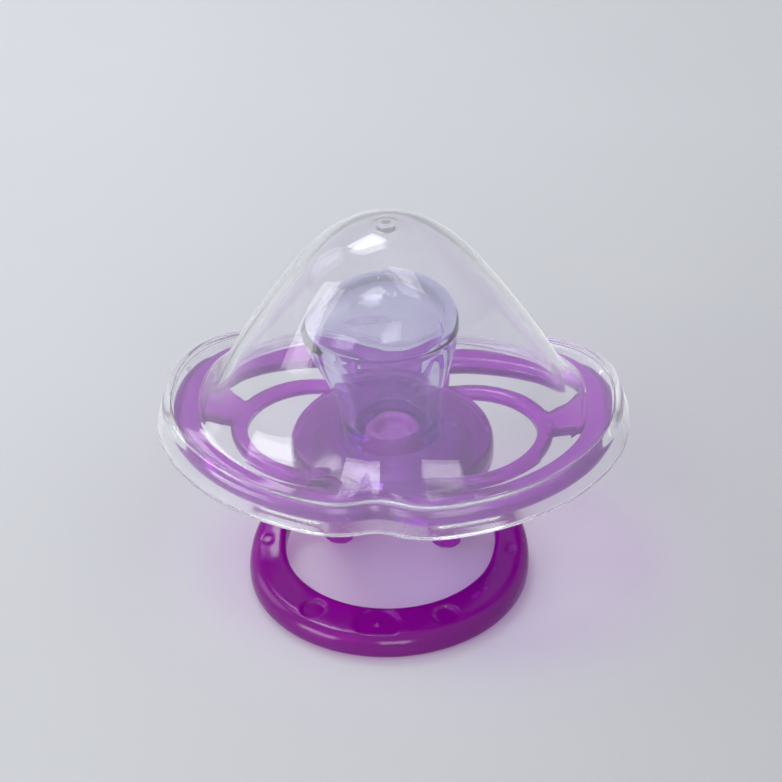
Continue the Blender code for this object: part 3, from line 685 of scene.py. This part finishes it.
def make_cap():
    """The clear bell, brim and skirt in one closed wall with four snap beads."""
    grow = CAP_SIDE_CLEARANCE + CAP_WALL
    top, bottom = CAP_LIFT, CAP_LIFT - SKIRT_DEPTH
    outer = cap_rows(0.0)
    brim = [outer[-1]]
    brim.append(rim_row(grow - CAP_EDGE * 1.12, top + 0.03))
    for degrees in (90, 70, 50, 30, 10):
        a = math.radians(degrees)
        brim.append(rim_row(grow - CAP_EDGE * (1 - math.cos(a)), top - CAP_EDGE * (1 - math.sin(a))))
    skirt = SKIRT_DEPTH - CAP_EDGE
    for share in (0.25, 0.5, 0.75, 0.92):
        brim.append(rim_row(grow + SKIRT_FLARE * share, top - CAP_EDGE - skirt * share))
    brim.append(rim_row(grow + SKIRT_FLARE - 0.05, bottom + 0.05))
    outer = outer[:-1] + curve_through([brim[0]] + brim + [brim[-1]], 3)
    under = top - CAP_WALL
    inside = CAP_SIDE_CLEARANCE
    inner = cap_rows(CAP_WALL)
    lining = [inner[-1], rim_row(inside - CAP_EDGE, under), rim_row(inside - 0.3, under - 0.02)]
    lining_top = under - LINING_DROP
    lining.append(rim_row(inside, lining_top))
    drop = SKIRT_DEPTH - CAP_WALL - LINING_DROP
    for share, bead in LINING:
        lining.append(rim_row(inside + SKIRT_FLARE * share, lining_top - drop * share, bead))
    lining.append(rim_row(inside + SKIRT_FLARE + 0.08, bottom + 0.04))
    inner = inner[:-1] + curve_through([lining[0]] + lining + [lining[-1]], 3)
    verts = [p for rows in (outer, inner) for row in rows for p in row.tolist()]
    faces = grid_faces(len(outer), CAP_COLUMNS, flip=True)
    start = len(outer) * CAP_COLUMNS
    faces += [tuple(start + i for i in f) for f in grid_faces(len(inner), CAP_COLUMNS)]
    a, b = start - CAP_COLUMNS, start + (len(inner) - 1) * CAP_COLUMNS
    for i in range(CAP_COLUMNS):
        j = (i + 1) % CAP_COLUMNS
        faces.append((a + j, a + i, b + i, b + j))
    apex = CAP_TOP - GATE_RISE
    verts += [(0.0, 0.0, apex), (0.0, 0.0, apex - CAP_WALL)]
    faces += fan(0, CAP_COLUMNS, len(verts) - 2)
    faces += fan(start, CAP_COLUMNS, len(verts) - 1, flip=True)
    verts = np.array(verts)
    off = np.hypot(verts[:, 0], verts[:, 1])
    outer_top = (verts[:, 2] > apex - CAP_WALL / 2) & (off < 3 * GATE_RADIUS)
    gate = 1 - ease((off - GATE_RADIUS) / GATE_SLOPE)
    lift = GATE_RISE * gate - GATE_DIMPLE * np.exp(-((off / GATE_SLOPE) ** 2))
    verts[:, 2] += np.where(outer_top, lift, 0.0)
    return make_object("cap_clear", verts, faces)


# Materials

SHEEN_ROUGHNESS = 0.28
WAVE_STRENGTH = 0.35
FROST_FROM = 13.0
FROST_TO = 16.0
# Painted light on the floor: its colour runs from the dim to the bright tone over this spread, brighter
# to the left and the back.
PAINTED_FLOOR_LIGHT_SPREAD = 0.045
PAINTED_FLOOR_SHADE = (0.48, 0.487, 0.497)
PAINTED_FLOOR_LIGHT = (0.665, 0.68, 0.705)


class Nodes:
    """A material's nodes, added left to right."""

    def __init__(self, name):
        self.material = bpy.data.materials.new(name)
        self.material.use_nodes = True
        self.tree = self.material.node_tree
        self.tree.nodes.clear()
        self.output = self.add("ShaderNodeOutputMaterial")

    def add(self, kind, **values):
        node = self.tree.nodes.new(kind)
        for key, value in values.items():
            setattr(node, key, value)
        return node

    def join(self, a, b):
        self.tree.links.new(a, b)

    def noise(self, scale, detail=3.0, rough=0.5):
        coords = self.add("ShaderNodeTexCoord")
        node = self.add("ShaderNodeTexNoise")
        node.inputs["Scale"].default_value = scale
        node.inputs["Detail"].default_value = detail
        node.inputs["Roughness"].default_value = rough
        self.join(coords.outputs["Object"], node.inputs["Vector"])
        return node.outputs["Fac"]

    def spread(self, factor, low, high, at_low=0.3, at_high=0.7):
        """Low to high as the factor goes from at_low to at_high."""
        node = self.add("ShaderNodeMapRange")
        node.inputs["From Min"].default_value = at_low
        node.inputs["From Max"].default_value = at_high
        node.inputs["To Min"].default_value = low
        node.inputs["To Max"].default_value = high
        self.join(factor, node.inputs["Value"])
        return node.outputs["Result"]

    def mix(self, factor, a, b):
        node = self.add("ShaderNodeMix", data_type="RGBA")
        node.inputs[6].default_value = (*a, 1.0)
        node.inputs[7].default_value = (*b, 1.0)
        self.join(factor, node.inputs["Factor"])
        return node.outputs[2]


def plastic(
    name, colour, edge_highlight, clear, rough, ior, shade, density, inner, bump=0.02, haze=0.0, frost=0.0,
):
    """A moulded clear or tinted plastic: uneven tint, a painted highlight on its sharp edges, fine flow
    marks, light through it.
    Its shadows take the shade, its depth absorbs towards inner, haze is a sheen at grazing angles,
    and frost roughens it from the shield's plate down."""
    nodes = Nodes(name)
    shader = nodes.add("ShaderNodeBsdfPrincipled")
    shader.inputs["IOR"].default_value = ior
    shader.inputs["Transmission Weight"].default_value = clear
    shader.inputs["Sheen Weight"].default_value = haze
    shader.inputs["Sheen Roughness"].default_value = SHEEN_ROUGHNESS
    tint = nodes.mix(nodes.spread(nodes.noise(60.0), 0.0, 1.0), colour, [c * 0.88 for c in colour])
    # Painted highlight: sharp edges take the lighter edge colour, which stands in for light caught along
    # the rims.
    pointed = nodes.add("ShaderNodeNewGeometry").outputs["Pointiness"]
    edge = nodes.spread(pointed, 0.0, 1.0, 0.55, 0.62)
    edge_highlight_mix = nodes.add("ShaderNodeMix", data_type="RGBA")
    nodes.join(edge, edge_highlight_mix.inputs["Factor"])
    nodes.join(tint, edge_highlight_mix.inputs[6])
    edge_highlight_mix.inputs[7].default_value = (*edge_highlight, 1.0)
    nodes.join(edge_highlight_mix.outputs[2], shader.inputs["Base Color"])
    fine = nodes.spread(nodes.noise(900.0, 5.0, 0.6), rough[0], rough[1])
    place = nodes.add("ShaderNodeSeparateXYZ")
    nodes.join(nodes.add("ShaderNodeTexCoord").outputs["Object"], place.inputs["Vector"])
    low = nodes.spread(place.outputs["Z"], frost, 0.0, FROST_FROM * MM, FROST_TO * MM)
    rougher = nodes.add("ShaderNodeMath", operation="ADD")
    nodes.join(fine, rougher.inputs[0])
    nodes.join(low, rougher.inputs[1])
    nodes.join(rougher.outputs["Value"], shader.inputs["Roughness"])
    waves = nodes.add("ShaderNodeBump")
    waves.inputs["Strength"].default_value = WAVE_STRENGTH
    waves.inputs["Distance"].default_value = bump * MM
    nodes.join(nodes.noise(160.0, 2.0, 0.5), waves.inputs["Height"])
    nodes.join(waves.outputs["Normal"], shader.inputs["Normal"])
    through = nodes.add("ShaderNodeBsdfTransparent")
    through.inputs["Color"].default_value = (*shade, 1.0)
    path = nodes.add("ShaderNodeLightPath")
    pick = nodes.add("ShaderNodeMixShader")
    nodes.join(path.outputs["Is Shadow Ray"], pick.inputs[0])
    nodes.join(shader.outputs["BSDF"], pick.inputs[1])
    nodes.join(through.outputs["BSDF"], pick.inputs[2])
    nodes.join(pick.outputs["Shader"], nodes.output.inputs["Surface"])
    volume = nodes.add("ShaderNodeVolumeAbsorption")
    volume.inputs["Color"].default_value = (*inner, 1.0)
    volume.inputs["Density"].default_value = density
    nodes.join(volume.outputs["Volume"], nodes.output.inputs["Volume"])
    return nodes.material


def floor_material():
    """A matt floor with painted light: its colour is brighter to the left and the back, with faint
    clouds.
    """
    nodes = Nodes("studio_floor")
    shader = nodes.add("ShaderNodeBsdfPrincipled")
    shader.inputs["Specular IOR Level"].default_value = 0.25
    cloud = nodes.spread(nodes.noise(9.0, 4.0), -0.05, 0.05)
    place = nodes.add("ShaderNodeSeparateXYZ")
    nodes.join(nodes.add("ShaderNodeTexCoord").outputs["Object"], place.inputs["Vector"])
    # Painted light: the floor's colour brightens towards the left and the back.
    across = nodes.spread(place.outputs["X"], 0.22, -0.18, -PAINTED_FLOOR_LIGHT_SPREAD, PAINTED_FLOOR_LIGHT_SPREAD)
    back = nodes.spread(place.outputs["Y"], 0.12, 0.78, -2 * PAINTED_FLOOR_LIGHT_SPREAD, 2 * PAINTED_FLOOR_LIGHT_SPREAD)
    sums = []
    for other in (across, cloud):
        add = nodes.add("ShaderNodeMath", operation="ADD")
        nodes.join(sums[-1] if sums else back, add.inputs[0])
        nodes.join(other, add.inputs[1])
        sums.append(add.outputs["Value"])
    tone = nodes.mix(sums[-1], PAINTED_FLOOR_SHADE, PAINTED_FLOOR_LIGHT)
    nodes.join(tone, shader.inputs["Base Color"])
    nodes.join(nodes.spread(nodes.noise(60.0), 0.42, 0.55), shader.inputs["Roughness"])
    nodes.join(shader.outputs["BSDF"], nodes.output.inputs["Surface"])
    return nodes.material


def dress(obj, material, body, node):
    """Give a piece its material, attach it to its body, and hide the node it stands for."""
    obj.data.materials.append(material)
    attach(obj, body)
    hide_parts(node)


def main():
    """Every visible piece, dressed and named, then the studio and the camera."""
    shield = solid("shield_moulding", shield_field, *SHIELD_SPACE)
    cover = solid("back_cover_moulding", cover_field, *COVER_SPACE)
    ring = solid("ring_handle_moulding", ring_field, *RING_SPACE)
    plug = make_plug()
    nipple = make_nipple()
    cap = make_cap()

    # The second colour of each plastic is the painted highlight on its sharp edges.
    purple = plastic(
        "tinted_purple", colour=(0.52, 0.03, 0.65), edge_highlight=(0.70, 0.24, 0.78), clear=0.88,
        rough=(0.08, 0.16), ior=1.46, shade=(0.98, 0.95, 0.98), density=360.0, inner=(0.62, 0.06, 0.72),
    )
    button = plastic(
        "tinted_button", colour=(0.58, 0.05, 0.62), edge_highlight=(0.74, 0.28, 0.80), clear=0.70,
        rough=(0.08, 0.16), ior=1.46, shade=(0.98, 0.95, 0.98), density=220.0, inner=(0.60, 0.08, 0.68),
    )
    magenta = plastic(
        "tinted_magenta", colour=(0.30, 0.0, 0.32), edge_highlight=(0.40, 0.01, 0.44), clear=0.50,
        rough=(0.10, 0.18), ior=1.43, shade=(0.95, 0.86, 0.94), density=200.0, inner=(0.55, 0.05, 0.55),
    )
    silicone = plastic(
        "clear_silicone", colour=(0.98, 0.97, 1.0), edge_highlight=(0.98, 0.98, 1.0), clear=1.0,
        rough=(0.01, 0.03), ior=1.41, shade=(0.98, 0.98, 0.99), density=120.0, inner=(0.50, 0.50, 0.97),
        bump=0.05, haze=0.15,
    )
    clear = plastic(
        "clear_cap_plastic", colour=(0.98, 0.98, 1.0), edge_highlight=(0.99, 0.99, 1.0), clear=0.955,
        rough=(0.02, 0.06), ior=1.42, shade=(0.98, 0.98, 0.99), density=20.0, inner=(0.80, 0.82, 0.95),
        bump=0.015, haze=0.90, frost=0.22,
    )
    dress(shield, purple, "pacifier", "shield")
    dress(cover, button, "pacifier", "back_cover")
    dress(plug, button, "pacifier", "plug")
    dress(nipple, silicone, "pacifier", "nipple")
    dress(ring, magenta, "ring", "ring_handle")
    dress(cap, clear, "cap", "cap")

    build_studio()
    place_camera()


# Studio: the floor and lamps are in metres, lamps as (name, direction, distance, width, height, watts)

FLOOR_HALF = 1.6
FLOOR_DROP = 0.00005
AIR_STRENGTH = 0.62
AIR_FRONT = (0.93, 0.95, 1.0, 1.0)
AIR_BACK = (0.50, 0.51, 0.55, 1.0)
AIR_TURN = (0.0, 0.80, 0.60)
LAMP_AIM_HEIGHT = 18.0
LAMPS = (
    ("left_softbox", (-0.75, -0.62, 0.24), 0.50, 0.26, 0.20, 0.85),
    ("front_softbox", (0.13, -0.86, 0.48), 0.60, 0.22, 0.27, 0.85),
    ("overhead_softbox", (-0.30, 0.40, 0.86), 0.60, 0.22, 0.24, 1.3),
    ("window", (-0.80, 0.30, 0.50), 0.70, 0.34, 0.34, 0.5),
)


def build_studio():
    """Floor, air and lamps."""
    mesh = bpy.data.meshes.new("studio_floor")
    corners = [(x * FLOOR_HALF, y * FLOOR_HALF, 0) for x, y in ((-1, -1), (1, -1), (1, 1), (-1, 1))]
    mesh.from_pydata(corners, [], [(0, 1, 2, 3)])
    floor = bpy.data.objects.new("studio_floor", mesh)
    floor.location.z = -FLOOR_DROP
    bpy.context.collection.objects.link(floor)
    mesh.materials.append(floor_material())

    world = bpy.data.worlds.new("studio_air")
    bpy.context.scene.world = world
    world.use_nodes = True
    background = world.node_tree.nodes["Background"]
    background.inputs["Strength"].default_value = AIR_STRENGTH
    tree = world.node_tree
    coords = tree.nodes.new("ShaderNodeTexCoord")
    toward_back = tree.nodes.new("ShaderNodeVectorMath")
    toward_back.operation = "DOT_PRODUCT"
    toward_back.inputs[1].default_value = AIR_TURN
    shade = tree.nodes.new("ShaderNodeMapRange")
    shade.inputs["From Min"].default_value = 0.5
    shade.inputs["From Max"].default_value = 0.9
    tone = tree.nodes.new("ShaderNodeMix")
    tone.data_type = "RGBA"
    tone.inputs[6].default_value = AIR_FRONT
    tone.inputs[7].default_value = AIR_BACK
    tree.links.new(coords.outputs["Generated"], toward_back.inputs[0])
    tree.links.new(toward_back.outputs["Value"], shade.inputs["Value"])
    tree.links.new(shade.outputs["Result"], tone.inputs["Factor"])
    tree.links.new(tone.outputs[2], background.inputs["Color"])

    aim = Vector((0.0, HUB_Y, LAMP_AIM_HEIGHT)) * MM
    for name, direction, distance, width, height, watts in LAMPS:
        lamp = bpy.data.lights.new(name, "AREA")
        lamp.shape = "RECTANGLE"
        lamp.size, lamp.size_y, lamp.energy = width, height, watts
        obj = bpy.data.objects.new(name, lamp)
        way = Vector(direction).normalized()
        obj.location = aim + way * distance
        obj.rotation_euler = (-way).to_track_quat("-Z", "Y").to_euler()
        bpy.context.collection.objects.link(obj)


CAMERA_AZIMUTH = math.radians(6.3)
CAMERA_ELEVATION = math.radians(36.0)
CAMERA_ROLL = math.radians(1.7)
CAMERA_DISTANCE = 300.0
CAMERA_AIM_UP = 3.49
CAMERA_AIM_LEFT = 0.1
SENSOR_WIDTH = 36.0
LENS = 134.65
CLIP_START = 0.01


def place_camera():
    """The camera at the photograph's angle, aimed a little above the hub."""
    azimuth, elevation, roll = CAMERA_AZIMUTH, CAMERA_ELEVATION, CAMERA_ROLL
    away = Vector((
        math.sin(azimuth) * math.cos(elevation),
        -math.cos(azimuth) * math.cos(elevation),
        math.sin(elevation),
    ))
    right = Vector((math.cos(azimuth), math.sin(azimuth), 0.0))
    up = away.cross(right)
    turned_right = right * math.cos(roll) - up * math.sin(roll)
    turned_up = up * math.cos(roll) + right * math.sin(roll)
    hub = Vector((0.0, HUB_Y, HUB_TOP))
    place = hub + away * CAMERA_DISTANCE
    target = hub + turned_up * CAMERA_AIM_UP - turned_right * CAMERA_AIM_LEFT
    look = (place - target).normalized()
    side = turned_up.cross(look).normalized()
    top = look.cross(side)
    data = bpy.data.cameras.new("studio_camera")
    data.sensor_width = SENSOR_WIDTH
    data.lens = LENS
    data.clip_start = CLIP_START
    camera = bpy.data.objects.new("studio_camera", data)
    turn = Matrix((side, top, look)).transposed().to_4x4()
    camera.matrix_world = Matrix.Translation(place * MM) @ turn
    bpy.context.collection.objects.link(camera)
    bpy.context.scene.camera = camera


main()
scene = bpy.context.scene
scene.view_settings.view_transform = "Standard"
scene.cycles.max_bounces = 24
scene.cycles.transmission_bounces = 20
scene.cycles.transparent_max_bounces = 24
